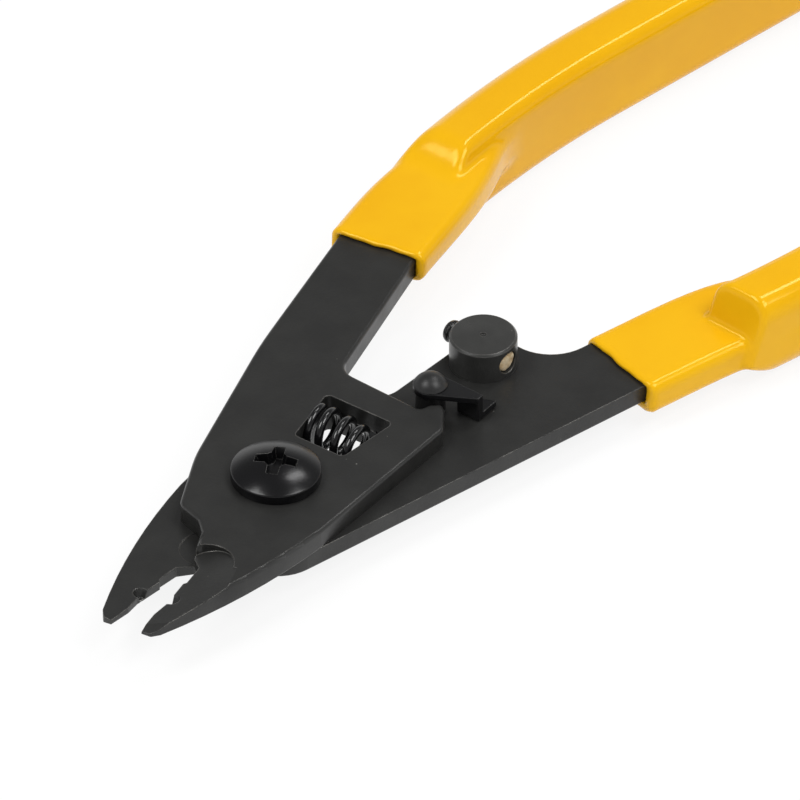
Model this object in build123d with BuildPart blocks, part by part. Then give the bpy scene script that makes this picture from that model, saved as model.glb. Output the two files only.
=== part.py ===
from build123d import *
import os
from math import cos, radians, sin, tan

# Driving dimensions, millimetres and degrees

# Stack of the pivot, from the resting plane up
NUT_HEIGHT = 2.7
WASHER_THICK = 0.75
PLATE_THICK = 2.7
SLIDE_GAP = 0.05         # film of grease between the two plates
FIT = 0.05               # radial running clearance of pins in holes
SEAT = 0.02              # clearance of pieces that are pressed or cemented in

# How far the handles open, and the stripping hole
HALF_ANGLE = 6.2         # each half's centre line from the tool's own, at the sprung-open rest
SHUT_PAST = 1.4          # the halves close this far past being in line, onto the stop screw
HOLE_REACH = 25.6        # pivot axis to the middle of the notches
NOTCH_RADIUS = 0.95      # of the notch's wide mouth, on the side that faces up
NOTCH_CENTRE = 0.3       # past the centre line, so that closing leaves a small hole
NOTCH_TAPER = 26.0       # its walls lean in by this much towards the lower side
BLADE_LAP = 1.15         # how far each blade's front passes the centre line
NOTCH_STEP = 0.5         # the edge at the notch lies back from the blade's front by this much
RAMP_START = 26.6        # in front of the notch the edge runs out to the blade's front
RAMP_LENGTH = 2.2
REAR_STEP = 0.35         # the edge behind the notch steps back again
REAR_STEP_REACH = 22.4

# Jaw of either plate, in the frame of its own half
JAW_TIP = 32.0
NOSE_WIDTH = 1.3
NOSE_SLANT = 0.9
NOSE_ROUND = 0.5
NOSE_LAND = 0.3          # thickness the upper blade's nose facet leaves at the tip
NOSE_SLOPE = 21.0
NOSE_TURN = 70.0
BLADE_HEEL = 19.0
HEEL_RISE = 1.5
BLADE_LAND = 1.1         # thickness left at the edge beside the notch
BEVEL_SLOPE = 13.4       # steepest slope of the ground face
BEVEL_TURN = 12.4        # its level lines run off the blade by this much towards the tip
POCKET_RADIUS = 3.4      # where the grinding ends behind the blade
POCKET_X = -18.6
POCKET_Y = -1.2
RELIEF_X = -13.8         # shallow round relief in the lower plate's top face, by the throat
RELIEF_Y = 0.75
RELIEF_DEPTH = 0.12
BELLY_REACH = 6.5
BELLY_DEPTH = 10.1
BELLY_BULGE = 0.95
EDGE_ROUND = 0.45        # rolled edge that stamping leaves on the outer face
ROLL_FROM = -20.0        # the blades in front of this and the tangs behind the next stay sharp
ROLL_TO = 50.0
ROLL_SHORTEST = 1.0

# Corners of the throat and back of either plate's body
THROAT_FLOOR = (-13.7, 2.9)
THROAT_WALL = (-11.9, 4.4)
UPPER_SHOULDER = (-10.3, 8.0)
UPPER_CROWN = (-1.0, 11.0)
UPPER_BACK = (22.2, 14.7)
LOWER_SHOULDER = (-9.6, 10.25)

# Rim of the body towards the handles, and the tooth that the lock lever holds
RIM_REACH = 21.7
NECK_Y = 3.3             # where the upper handle's inner edge leaves the body
TOOTH_ROOT = (20.4, -9.1)
TOOTH_BACK = (21.7, -9.75)
TOOTH_TIP = (22.6, -11.1)
TOOTH_FACE = (21.7, -12.0)
HEEL_REACH = 18.3
HEEL_DEPTH = 13.7
BOSS_REACH = 5.2         # past the stop post
BOSS_SIDE = 8.6

# Tangs under the grips, each along its own line
TANG_WIDTH = 10.8
UPPER_TANG_START = (46.0, 11.2)
UPPER_TANG_ANGLE = 1.5
UPPER_OUTER_TAPER = 9.0  # where the tang's outer edge starts to run into the channel
UPPER_INNER_TAPER = 19.0
LOWER_TANG_START = (47.4, 15.1)
LOWER_TANG_ANGLE = 10.9
LOWER_OUTER_TAPER = 14.5
LOWER_INNER_TAPER = 20.5

# Channel that fills the deep part of each grip
CHANNEL_WIDTH = 6.6
CHANNEL_WALL = 1.6
CHANNEL_CORNER = 1.4     # outside, where the sheet is folded
TANG_RUN_IN = 5.0        # the flat tang ends this far inside the channel
BEND_RADIUS = 151.0
UPPER_BEND = 11.4
LOWER_BEND = 10.0
TAIL_LENGTH = 37.0
LOWER_TAIL_LENGTH = 41.5
UPPER_CHANNEL_LEAD = 19.7   # along and across the tang's line to the channel's start
UPPER_CHANNEL_SHIFT = 0.9
UPPER_CHANNEL_ANGLE = -7.5
LOWER_CHANNEL_LEAD = 18.4
LOWER_CHANNEL_SHIFT = 4.4
LOWER_CHANNEL_ANGLE = 12.0

# Dipped grips
COAT = 0.8
GRIP_CORNER = 2.6
NOSE_LENGTH = 3.0
SLEEVE_ROUND = 1.4
SLEEVE_MERGE = 3.5       # how far the sleeve runs on inside the deep part
LOWER_WING = 7.5         # the lower sleeve's inner side runs on beside the deep part by this much more
END_ROUND = 1.9

# Pivot screw, washer and nut
SCREW_RADIUS = 3.0
HEAD_RADIUS = 5.7
HEAD_RIM = 0.9
HEAD_DOME = 2.0
RECESS_SPAN = 5.0
RECESS_ARM = 1.35
RECESS_DEPTH = 1.7
RECESS_TURN = 23.4
RECESS_TAPER = 9.0
WASHER_RADIUS = 5.5
NUT_ACROSS_FLATS = 8.0

# Window and spring
WINDOW_NEAR = 8.0
WINDOW_FAR = 17.0
WINDOW_NEAR_HALF = 3.7
WINDOW_FAR_HALF = 5.05
WINDOW_SHIFT = -0.8
WINDOW_CORNER = 0.7
SPRING_WIRE = 1.1
SPRING_OUTSIDE = 7.0
SPRING_TURNS = 3.75
SPRING_END_GAP = 0.1

# Stop post and its screw, on the lower plate
POST_X = 36.67
POST_Y = -2.14
POST_RADIUS = 4.3
POST_HEIGHT = 4.4
POST_SHANK = 2.6
POST_CHAMFER = 0.25
MARK_RADIUS = 0.4        # centre mark that turning left on the post's top
MARK_DEPTH = 0.25
STOP_HEIGHT = 2.2
STOP_RADIUS = 1.5
STOP_END_ROUND = 0.5
SEAL_DEPTH = 1.7

# Lock lever and its rivet, on the lower plate
RIVET_X = 25.52
RIVET_Y = -3.15
RIVET_SHANK = 1.2
RIVET_TAIL = 1.5
RIVET_HUB = 1.9
RIVET_DOME_RADIUS = 2.2
RIVET_DOME_HEIGHT = 1.4
LEVER_SHEET = 0.9
LEVER_PASS = 0.15        # air between the lever and the plate it swings over
LEVER_DIRECTION = -85.6
LEVER_REACH = 6.6
ARM_ROOT = (1.0, -1.9)
CATCH_START = 3.2        # the wall that hangs from the arm starts here and runs to the arm's end
CATCH_OFFSET = 1.2
CATCH_THICK = 1.0
TAB_START = 4.7
TAB_REACH = 5.0
TAB_SLANT = 0.8

# Levels
lower_bottom = NUT_HEIGHT + WASHER_THICK
lower_top = lower_bottom + PLATE_THICK
upper_bottom = lower_top + SLIDE_GAP
upper_top = upper_bottom + PLATE_THICK
middle = lower_top + SLIDE_GAP / 2
grip_height = 2 * middle
channel_height = grip_height - 2 * COAT

# How far the cutting edge passes the centre line beside the notch and behind it
notch_edge = BLADE_LAP - NOTCH_STEP
rear_edge = notch_edge - REAR_STEP


def turned(angle, level, facing):
    """A plane at a level whose X axis lies at an angle to the tool's own."""
    return Plane(
        origin=(0, 0, level),
        x_dir=(cos(radians(angle)), sin(radians(angle)), 0),
        z_dir=(0, 0, facing),
    )


# Each half is drawn with its handle towards +Y and its thickness growing away from the other half
upper = turned(HALF_ANGLE, upper_bottom, 1)
lower = turned(-HALF_ANGLE, lower_top, -1)
# The same lower half seen from above, for what stands on it
deck = turned(-HALF_ANGLE, lower_top, 1)


def when_shut(x, y):
    """A point of the upper half in the lower half's frame, seen from above, when the tool is closed."""
    a = radians(-SHUT_PAST)
    return (x * cos(a) - y * sin(a), x * sin(a) + y * cos(a))


def tilted(half, corner, along, slope):
    """A plane through a point of a half, turned along the blade and sloping down towards its edge."""
    origin = half.from_local_coords(corner)
    a, s = radians(along), radians(slope)
    x_dir = half.from_local_coords((cos(a), sin(a), 0)) - half.origin
    normal = half.from_local_coords((sin(a) * -sin(s), cos(a) * sin(s), cos(s))) - half.origin
    return Plane(origin=origin, x_dir=x_dir, z_dir=normal)


def blade_outline():
    """Cutting edge, nose and belly of a jaw; the plate's body closes the outline."""
    edge = Polyline(
        (-BLADE_HEEL, rear_edge),
        (-REAR_STEP_REACH + REAR_STEP, rear_edge),
        (-REAR_STEP_REACH, notch_edge),
        (-RAMP_START, notch_edge),
        (-RAMP_START - RAMP_LENGTH, BLADE_LAP),
        (-JAW_TIP, BLADE_LAP),
    )
    nose = FilletPolyline(
        edge @ 1,
        (-JAW_TIP, BLADE_LAP - NOSE_WIDTH),
        (-JAW_TIP + NOSE_SLANT, BLADE_LAP - NOSE_WIDTH - NOSE_SLANT),
        radius=NOSE_ROUND,
    )
    SagittaArc(nose @ 1, (-BELLY_REACH, -BELLY_DEPTH), -BELLY_BULGE)


def body_outline(corners):
    """Rounded outline of a plate's body from (x, y, radius) corners, blade heel to belly."""
    points = [(x, y) for x, y, radius in corners]
    radii = [radius for x, y, radius in corners[1:-1]]
    return FilletPolyline(*points, radius=radii)


def tang_corner(start, angle, along, across):
    """A point of a tang, from its start on the centre line."""
    a = radians(angle)
    return (
        start[0] + along * cos(a) - across * sin(a),
        start[1] + along * sin(a) + across * cos(a),
    )


def tang_corners(start, angle, outer_taper, inner_taper, wing, channel, channel_angle):
    """The tang's run under the sleeve and its narrow end inside the channel, outer edge first."""
    half_width = TANG_WIDTH / 2
    rib = CHANNEL_WIDTH / 2 - 0.2
    return [
        (*tang_corner(start, angle, 0, half_width), 20),
        (*tang_corner(start, angle, outer_taper - COAT, half_width), 1),
        (*tang_corner(channel, channel_angle, 0, rib), 0.5),
        (*tang_corner(channel, channel_angle, wing + TANG_RUN_IN, rib), 0.5),
        (*tang_corner(channel, channel_angle, wing + TANG_RUN_IN, -rib), 0.5),
        (*tang_corner(channel, channel_angle, wing, -rib), 0.5),
        (*tang_corner(start, angle, inner_taper - 2 * COAT, -half_width), 1),
        (*tang_corner(start, angle, 0, -half_width), 20),
    ]


def sleeve_corners(start, angle, outer_taper, inner_taper, wing, channel, channel_angle):
    """Plan of the flat sleeve: square at the lip, then running into the sides of the deep part."""
    half_width = TANG_WIDTH / 2 + COAT
    inside = CHANNEL_WIDTH / 2 + COAT - 0.1
    return [
        tang_corner(start, angle, 0, half_width),
        tang_corner(start, angle, outer_taper, half_width),
        tang_corner(channel, channel_angle, SLEEVE_MERGE, inside),
        tang_corner(channel, channel_angle, wing + SLEEVE_MERGE, -inside),
        tang_corner(start, angle, inner_taper, -half_width),
        tang_corner(start, angle, 0, -half_width),
    ]


def bevel(half):
    """The plane of the ground face on a blade's outer side, from the land beside the notch."""
    return tilted(half, (-HOLE_REACH, notch_edge, BLADE_LAND), 180 + BEVEL_TURN, -BEVEL_SLOPE)


def channel_path(start, angle, bend, tail):
    """Centre line of the deep part of a handle: a gentle bend, then a straight tail."""
    a = radians(angle)
    arc = JernArc(start=start, tangent=(cos(a), sin(a)), radius=BEND_RADIUS, arc_size=-bend)
    Line(arc @ 1, arc @ 1 + (arc % 1) * tail)


def section_plane(half, start, angle, along=0.0):
    """A plane across a handle, at a distance along its centre line."""
    x, y = tang_corner(start, angle, along, 0)
    a = radians(angle)
    origin = half.from_local_coords((x, y, -SLIDE_GAP / 2))
    across = half.from_local_coords((-sin(a), cos(a), 0)) - half.origin
    forward = half.from_local_coords((cos(a), sin(a), 0)) - half.origin
    return Plane(origin=origin, x_dir=across, z_dir=forward)


def window_outline():
    """Four-sided window that narrows towards the pivot, in the open pose the same in both plates."""
    Polyline(
        (WINDOW_NEAR, WINDOW_SHIFT - WINDOW_NEAR_HALF),
        (WINDOW_FAR, WINDOW_SHIFT - WINDOW_FAR_HALF),
        (WINDOW_FAR, WINDOW_SHIFT + WINDOW_FAR_HALF),
        (WINDOW_NEAR, WINDOW_SHIFT + WINDOW_NEAR_HALF),
        close=True,
    )


def roll_edges(plate, facing):
    """Round the edges of a plate's outer face, as stamping leaves them; blades and tangs stay sharp."""
    outer = plate.faces().sort_by(Axis((0, 0, 0), (0, 0, facing)))[-1]
    long_edges = [e for e in outer.outer_wire().edges() if e.length > ROLL_SHORTEST]
    fillet([e for e in long_edges if ROLL_FROM < e.center().X < ROLL_TO], EDGE_ROUND)


def blade_grinding(half, mouth):
    """What grinding takes off a blade: the sloping face, and the notch from its mouth's level."""
    face = bevel(half)
    pocket = face.to_local_coords(half.from_local_coords((POCKET_X, POCKET_Y, 0)))
    with BuildPart() as cut:
        with BuildSketch(face):
            with Locations((pocket.X, pocket.Y)):
                Circle(POCKET_RADIUS)
                Rectangle(JAW_TIP, 4 * POCKET_RADIUS, align=(Align.MIN, Align.CENTER))
        extrude(amount=PLATE_THICK)
        narrow = NOTCH_RADIUS - BLADE_LAND * tan(radians(NOTCH_TAPER))
        for level, radius in ((mouth, NOTCH_RADIUS), (BLADE_LAND - mouth, narrow)):
            with BuildSketch(half.offset(level)):
                with Locations((-HOLE_REACH, NOTCH_CENTRE)):
                    Circle(radius)
                    Rectangle(2 * radius, BLADE_LAP, align=(Align.CENTER, Align.MIN))
        loft()
    return cut.part


def nose_facet(half):
    """What grinding takes off the nose of a blade."""
    with BuildPart() as cut:
        with BuildSketch(tilted(half, (-JAW_TIP, BLADE_LAP, NOSE_LAND), NOSE_TURN, NOSE_SLOPE)):
            Rectangle(4 * NOSE_WIDTH, 8 * NOSE_WIDTH)
        extrude(amount=PLATE_THICK)
    return cut.part


def channel(half, start, angle, bend, tail, section):
    """A section swept down the deep part of a handle."""
    with BuildPart() as run:
        with BuildLine(half.offset(-SLIDE_GAP / 2)) as spine:
            channel_path(start, angle, bend, tail)
        with BuildSketch(section_plane(half, start, angle)):
            add(section)
        sweep(path=spine.line)
    return run.part


# Where each channel starts, from its tang
upper_channel = tang_corner(UPPER_TANG_START, UPPER_TANG_ANGLE, UPPER_CHANNEL_LEAD, UPPER_CHANNEL_SHIFT)
lower_channel = tang_corner(LOWER_TANG_START, LOWER_TANG_ANGLE, LOWER_CHANNEL_LEAD, LOWER_CHANNEL_SHIFT)
upper_tang = (UPPER_TANG_START, UPPER_TANG_ANGLE, UPPER_OUTER_TAPER, UPPER_INNER_TAPER, 0,
              upper_channel, UPPER_CHANNEL_ANGLE)
lower_tang = (LOWER_TANG_START, LOWER_TANG_ANGLE, LOWER_OUTER_TAPER, LOWER_INNER_TAPER, LOWER_WING,
              lower_channel, LOWER_CHANNEL_ANGLE)

# Sections across a handle, with the open side of the channel facing the other handle
with BuildSketch() as channel_section:
    RectangleRounded(CHANNEL_WIDTH, channel_height, CHANNEL_CORNER)
    with Locations((-CHANNEL_WALL, 0)):
        Rectangle(CHANNEL_WIDTH, channel_height - 2 * CHANNEL_WALL, mode=Mode.SUBTRACT)
with BuildSketch() as channel_room:
    RectangleRounded(CHANNEL_WIDTH + 2 * SEAT, channel_height + 2 * SEAT, CHANNEL_CORNER)
with BuildSketch() as grip_section:
    RectangleRounded(CHANNEL_WIDTH + 2 * COAT, grip_height, GRIP_CORNER)

# Upper plate: blade, body with the lock tooth, tang and channel in one stamping
upper_corners = [
    (-BLADE_HEEL, rear_edge, 0),
    (-BLADE_HEEL + HEEL_RISE, rear_edge + HEEL_RISE, 0.4),
    (*THROAT_FLOOR, 1.0),
    (*THROAT_WALL, 1.0),
    (*UPPER_SHOULDER, 2.0),
    (*UPPER_CROWN, 20.0),
    (*UPPER_BACK, 80.0),
    *tang_corners(*upper_tang),
    (RIM_REACH + 0.7, NECK_Y, 2.6),
    (*TOOTH_ROOT, 0.8),
    (*TOOTH_BACK, 0.5),
    (*TOOTH_TIP, 0.5),
    (*TOOTH_FACE, 0.5),
    (HEEL_REACH, -HEEL_DEPTH, 1.5),
    (-BELLY_REACH, -BELLY_DEPTH, 0),
]
with BuildPart() as upper_plate:
    with BuildSketch(upper):
        with BuildLine():
            blade_outline()
            body_outline(upper_corners)
        make_face()
    extrude(amount=PLATE_THICK)
    roll_edges(upper_plate, 1)
    with BuildSketch(Plane.XY.offset(upper_bottom)) as window:
        with BuildLine():
            window_outline()
        make_face()
        fillet(window.vertices(), WINDOW_CORNER)
    extrude(amount=PLATE_THICK, mode=Mode.SUBTRACT)
    with BuildSketch(upper):
        Circle(SCREW_RADIUS + FIT)
    extrude(amount=PLATE_THICK, mode=Mode.SUBTRACT)
    add(blade_grinding(upper, BLADE_LAND), mode=Mode.SUBTRACT)
    add(nose_facet(upper), mode=Mode.SUBTRACT)
    add(channel(upper, upper_channel, UPPER_CHANNEL_ANGLE, UPPER_BEND, TAIL_LENGTH,
                channel_section.sketch))

# Lower plate: the same blade, with a boss for the stop post and a scallop behind it
boss_far = POST_X + BOSS_REACH
boss_near = -POST_Y - POST_RADIUS
lower_corners = [
    (-BLADE_HEEL, rear_edge, 0),
    (-BLADE_HEEL + HEEL_RISE, rear_edge + HEEL_RISE, 0.4),
    (*THROAT_FLOOR, 1.0),
    (*THROAT_WALL, 1.0),
    (*LOWER_SHOULDER, 6.0),
    *tang_corners(*lower_tang),
    (boss_far, BOSS_SIDE, 6.2),
    (boss_far, boss_near, 5.0),
    (RIM_REACH + 0.4, boss_near, 3.5),
    (RIM_REACH - 0.7, -HEEL_DEPTH - 0.35, 3.0),
    (-BELLY_REACH, -BELLY_DEPTH, 0),
]
with BuildPart() as lower_plate:
    with BuildSketch(lower):
        with BuildLine():
            blade_outline()
            body_outline(lower_corners)
        make_face()
    extrude(amount=PLATE_THICK)
    roll_edges(lower_plate, -1)
    with BuildSketch(Plane.XY.offset(lower_bottom)) as window:
        with BuildLine():
            window_outline()
        make_face()
        fillet(window.vertices(), WINDOW_CORNER)
    extrude(amount=PLATE_THICK, mode=Mode.SUBTRACT)
    with BuildSketch(lower):
        Circle(SCREW_RADIUS + FIT)
        with Locations((POST_X, -POST_Y)):
            Circle(POST_SHANK + SEAT)
        with Locations((RIVET_X, -RIVET_Y)):
            Circle(RIVET_TAIL + SEAT)
    extrude(amount=PLATE_THICK, mode=Mode.SUBTRACT)
    with BuildSketch(lower):
        with Locations((RELIEF_X, RELIEF_Y)):
            Circle(POCKET_RADIUS)
    extrude(amount=RELIEF_DEPTH, mode=Mode.SUBTRACT)
    add(blade_grinding(lower, 0), mode=Mode.SUBTRACT)
    add(channel(lower, lower_channel, LOWER_CHANNEL_ANGLE, LOWER_BEND, LOWER_TAIL_LENGTH,
                channel_section.sketch))


def dipped_form(half, tang, bend, tail):
    """Outer form of a vinyl grip: a flat sleeve, a nose that swells, and a deep rounded body."""
    channel_start, channel_angle = tang[-2:]
    flat = PLATE_THICK + 2 * COAT
    with BuildPart() as form:
        with BuildSketch(half.offset(-COAT)):
            with BuildLine():
                Polyline(*sleeve_corners(*tang), close=True)
            make_face()
        extrude(amount=flat)
        lip = form.faces().sort_by(Axis.X)[0]
        rims = form.edges().filter_by(GeomType.LINE).filter_by(Axis.Z, reverse=True)
        fillet([e for e in rims if e.center() not in [x.center() for x in lip.edges()]], SLEEVE_ROUND)
        up = (PLATE_THICK + SLIDE_GAP) / 2
        with BuildSketch(section_plane(half, channel_start, channel_angle, -NOSE_LENGTH)):
            with Locations((0, up)):
                RectangleRounded(CHANNEL_WIDTH, flat - 2 * COAT, COAT)
        with BuildSketch(section_plane(half, channel_start, channel_angle)):
            add(grip_section.sketch)
        loft()
        add(channel(half, channel_start, channel_angle, bend, tail + COAT, grip_section.sketch))
        far_end = form.faces().sort_by(Axis.X)[-1]
        fillet(far_end.edges(), END_ROUND)
    return form.part


def dipped_room(half, tang, bend, tail):
    """Room inside a grip for the steel of its handle."""
    with BuildPart() as room:
        with BuildSketch(half.offset(-SEAT)):
            with BuildLine():
                tang_line = body_outline(tang_corners(*tang))
                Line(tang_line @ 1, tang_line @ 0)
            make_face()
            offset(amount=SEAT)
        extrude(amount=PLATE_THICK + 2 * SEAT)
        add(channel(half, *tang[-2:], bend, tail + SEAT, channel_room.sketch))
    return room.part


with BuildPart() as upper_grip:
    add(dipped_form(upper, upper_tang, UPPER_BEND, TAIL_LENGTH))
    add(dipped_room(upper, upper_tang, UPPER_BEND, TAIL_LENGTH), mode=Mode.SUBTRACT)

with BuildPart() as lower_grip:
    add(dipped_form(lower, lower_tang, LOWER_BEND, LOWER_TAIL_LENGTH))
    add(dipped_room(lower, lower_tang, LOWER_BEND, LOWER_TAIL_LENGTH), mode=Mode.SUBTRACT)

# Pivot screw: domed head with a cross recess, plain shank through both plates
with BuildPart() as pivot_screw:
    with BuildSketch(Plane.XZ):
        with BuildLine():
            dome = ThreePointArc(
                (0, upper_top + SLIDE_GAP + HEAD_RIM + HEAD_DOME),
                (HEAD_RADIUS * 0.53, upper_top + SLIDE_GAP + HEAD_RIM + HEAD_DOME * 0.74),
                (HEAD_RADIUS, upper_top + SLIDE_GAP + HEAD_RIM),
            )
            Polyline(
                dome @ 1,
                (HEAD_RADIUS, upper_top + SLIDE_GAP),
                (SCREW_RADIUS, upper_top + SLIDE_GAP),
                (SCREW_RADIUS, 0),
                (0, 0),
                dome @ 0,
            )
        make_face()
    revolve(axis=Axis.Z)
    crown = Plane.XY.offset(upper_top + SLIDE_GAP + HEAD_RIM + HEAD_DOME).rotated((0, 0, RECESS_TURN))
    with BuildSketch(crown) as recess:
        Rectangle(RECESS_SPAN, RECESS_ARM)
        Rectangle(RECESS_ARM, RECESS_SPAN)
        fillet(recess.vertices(), RECESS_ARM / 4)
    extrude(amount=-RECESS_DEPTH, taper=RECESS_TAPER, mode=Mode.SUBTRACT)

# Flat washer under the lower plate
with BuildPart() as pivot_washer:
    with BuildSketch(Plane.XY.offset(NUT_HEIGHT)):
        Circle(WASHER_RADIUS)
        Circle(SCREW_RADIUS + FIT, mode=Mode.SUBTRACT)
    extrude(amount=WASHER_THICK)

# Thin lock nut; its lower face lies in the resting plane
with BuildPart() as pivot_nut:
    with BuildSketch(Plane.XY):
        RegularPolygon(radius=NUT_ACROSS_FLATS / 2, side_count=6, major_radius=False)
        Circle(SCREW_RADIUS + FIT, mode=Mode.SUBTRACT)
    extrude(amount=NUT_HEIGHT)

# Opening spring across the aligned windows
spring_x = (WINDOW_NEAR + WINDOW_FAR) / 2 + 0.1
spring_mean = (SPRING_OUTSIDE - SPRING_WIRE) / 2
nearest_coil = spring_x - SPRING_OUTSIDE / 2
wall_share = (nearest_coil - WINDOW_NEAR) / (WINDOW_FAR - WINDOW_NEAR)
wall_half = WINDOW_NEAR_HALF + wall_share * (WINDOW_FAR_HALF - WINDOW_NEAR_HALF)
spring_run = 2 * (wall_half - SPRING_END_GAP) - SPRING_WIRE
with BuildPart() as opening_spring:
    with BuildLine() as coil:
        Helix(pitch=spring_run / SPRING_TURNS, height=spring_run, radius=spring_mean,
              center=(spring_x, WINDOW_SHIFT - spring_run / 2, middle), direction=(0, 1, 0))
    with BuildSketch(Plane(origin=coil.line @ 0, z_dir=coil.line % 0)):
        Circle(SPRING_WIRE / 2)
    sweep(path=coil.line, is_frenet=True)

# Stop post riveted into the lower plate, with a tapped hole across it
with BuildPart() as stop_post:
    with BuildSketch(deck):
        with Locations((POST_X, POST_Y)):
            Circle(POST_RADIUS)
    extrude(amount=POST_HEIGHT)
    chamfer(stop_post.faces().sort_by(Axis.Z)[-1].edges(), POST_CHAMFER)
    with BuildSketch(deck.offset(POST_HEIGHT)):
        with Locations((POST_X, POST_Y)):
            Circle(MARK_RADIUS)
    extrude(amount=-MARK_DEPTH, mode=Mode.SUBTRACT)
    with BuildSketch(deck):
        with Locations((POST_X, POST_Y)):
            Circle(POST_SHANK)
    extrude(amount=-PLATE_THICK)
    cross = Plane(origin=deck.from_local_coords((POST_X, POST_Y, STOP_HEIGHT)), x_dir=(0, 0, 1),
                  z_dir=deck.y_dir)
    with BuildSketch(cross):
        Circle(STOP_RADIUS + SEAT)
    extrude(amount=POST_RADIUS, both=True, mode=Mode.SUBTRACT)

# Stop screw across the post: its end meets the upper handle's inner edge when the tool is closed
neck = when_shut(RIM_REACH + 0.7, NECK_Y)
lip = when_shut(*tang_corner(UPPER_TANG_START, UPPER_TANG_ANGLE, 0, -TANG_WIDTH / 2))
contact_x = POST_X - STOP_RADIUS + STOP_END_ROUND
contact_y = neck[1] + (lip[1] - neck[1]) / (lip[0] - neck[0]) * (contact_x - neck[0])
point_reach = contact_y - POST_Y - FIT
screw_tail = -POST_RADIUS + SEAL_DEPTH
with BuildPart() as stop_screw:
    with BuildSketch(cross.offset(screw_tail)):
        Circle(STOP_RADIUS)
    extrude(amount=point_reach - screw_tail)
    fillet(stop_screw.faces().sort_by(Axis(cross.origin, cross.z_dir))[-1].edges(), STOP_END_ROUND)

# Plug of sealing compound over the tail of the stop screw
with BuildPart() as screw_seal:
    with BuildSketch(cross.offset(-POST_RADIUS + 0.35)):
        Circle(STOP_RADIUS)
    extrude(amount=SEAL_DEPTH - 0.35)

# Lock rivet: tail in the plate, hub under the lever, domed head
lever_level = PLATE_THICK + SLIDE_GAP + LEVER_PASS
dome_level = lever_level + LEVER_SHEET + FIT
rivet_axis = deck.from_local_coords((RIVET_X, RIVET_Y, 0))
with BuildPart() as lock_rivet:
    with BuildSketch(Plane(origin=rivet_axis, x_dir=(1, 0, 0), z_dir=(0, -1, 0))):
        with BuildLine():
            head = ThreePointArc(
                (0, dome_level + RIVET_DOME_HEIGHT),
                (RIVET_DOME_RADIUS * 0.75, dome_level + RIVET_DOME_HEIGHT * 0.62),
                (RIVET_DOME_RADIUS, dome_level),
            )
            Polyline(
                head @ 1,
                (RIVET_SHANK, dome_level),
                (RIVET_SHANK, lever_level),
                (RIVET_HUB, lever_level),
                (RIVET_HUB, 0),
                (RIVET_TAIL, 0),
                (RIVET_TAIL, -PLATE_THICK),
                (0, -PLATE_THICK),
                head @ 0,
            )
        make_face()
    revolve(axis=Axis(rivet_axis, (0, 0, 1)))

# Lock lever: an eye on the rivet, an arm over the plate, a catch that hangs beside it, a thumb tab
lever_x = (cos(radians(LEVER_DIRECTION - HALF_ANGLE)), sin(radians(LEVER_DIRECTION - HALF_ANGLE)), 0)
lever = Plane(origin=rivet_axis, x_dir=lever_x, z_dir=(0, 0, 1))
with BuildPart() as lock_lever:
    with BuildSketch(lever.offset(lever_level)):
        Circle(RIVET_DOME_RADIUS)
        with BuildLine():
            Polyline(
                (0, RIVET_DOME_RADIUS),
                ARM_ROOT,
                (LEVER_REACH, CATCH_OFFSET),
                (LEVER_REACH, CATCH_OFFSET + CATCH_THICK),
                close=True,
            )
        make_face()
        Circle(RIVET_SHANK + FIT, mode=Mode.SUBTRACT)
    extrude(amount=LEVER_SHEET)
    with BuildSketch(lever.offset(LEVER_PASS)):
        with Locations((CATCH_START, CATCH_OFFSET)):
            Rectangle(LEVER_REACH - CATCH_START, CATCH_THICK, align=(Align.MIN, Align.MIN))
    extrude(amount=lever_level)
    with BuildSketch(lever.offset(LEVER_PASS)):
        with BuildLine():
            Polyline(
                (LEVER_REACH, CATCH_OFFSET + CATCH_THICK),
                (LEVER_REACH, TAB_REACH),
                (TAB_START, TAB_REACH - TAB_SLANT),
                (TAB_START, CATCH_OFFSET + CATCH_THICK),
                close=True,
            )
        make_face()
    extrude(amount=LEVER_SHEET)

pieces = {
    "upper_plate": upper_plate,
    "lower_plate": lower_plate,
    "upper_grip": upper_grip,
    "lower_grip": lower_grip,
    "pivot_screw": pivot_screw,
    "pivot_washer": pivot_washer,
    "pivot_nut": pivot_nut,
    "opening_spring": opening_spring,
    "stop_post": stop_post,
    "stop_screw": stop_screw,
    "screw_seal": screw_seal,
    "lock_lever": lock_lever,
    "lock_rivet": lock_rivet,
}
os.makedirs("parts", exist_ok=True)
for name, piece in pieces.items():
    piece.part.label = name
    export_step(piece.part, "parts/" + name + ".step")
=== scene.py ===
from math import cos, pi, radians, sin, sqrt

import bmesh
import bpy
import numpy as np
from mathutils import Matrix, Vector, noise


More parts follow.
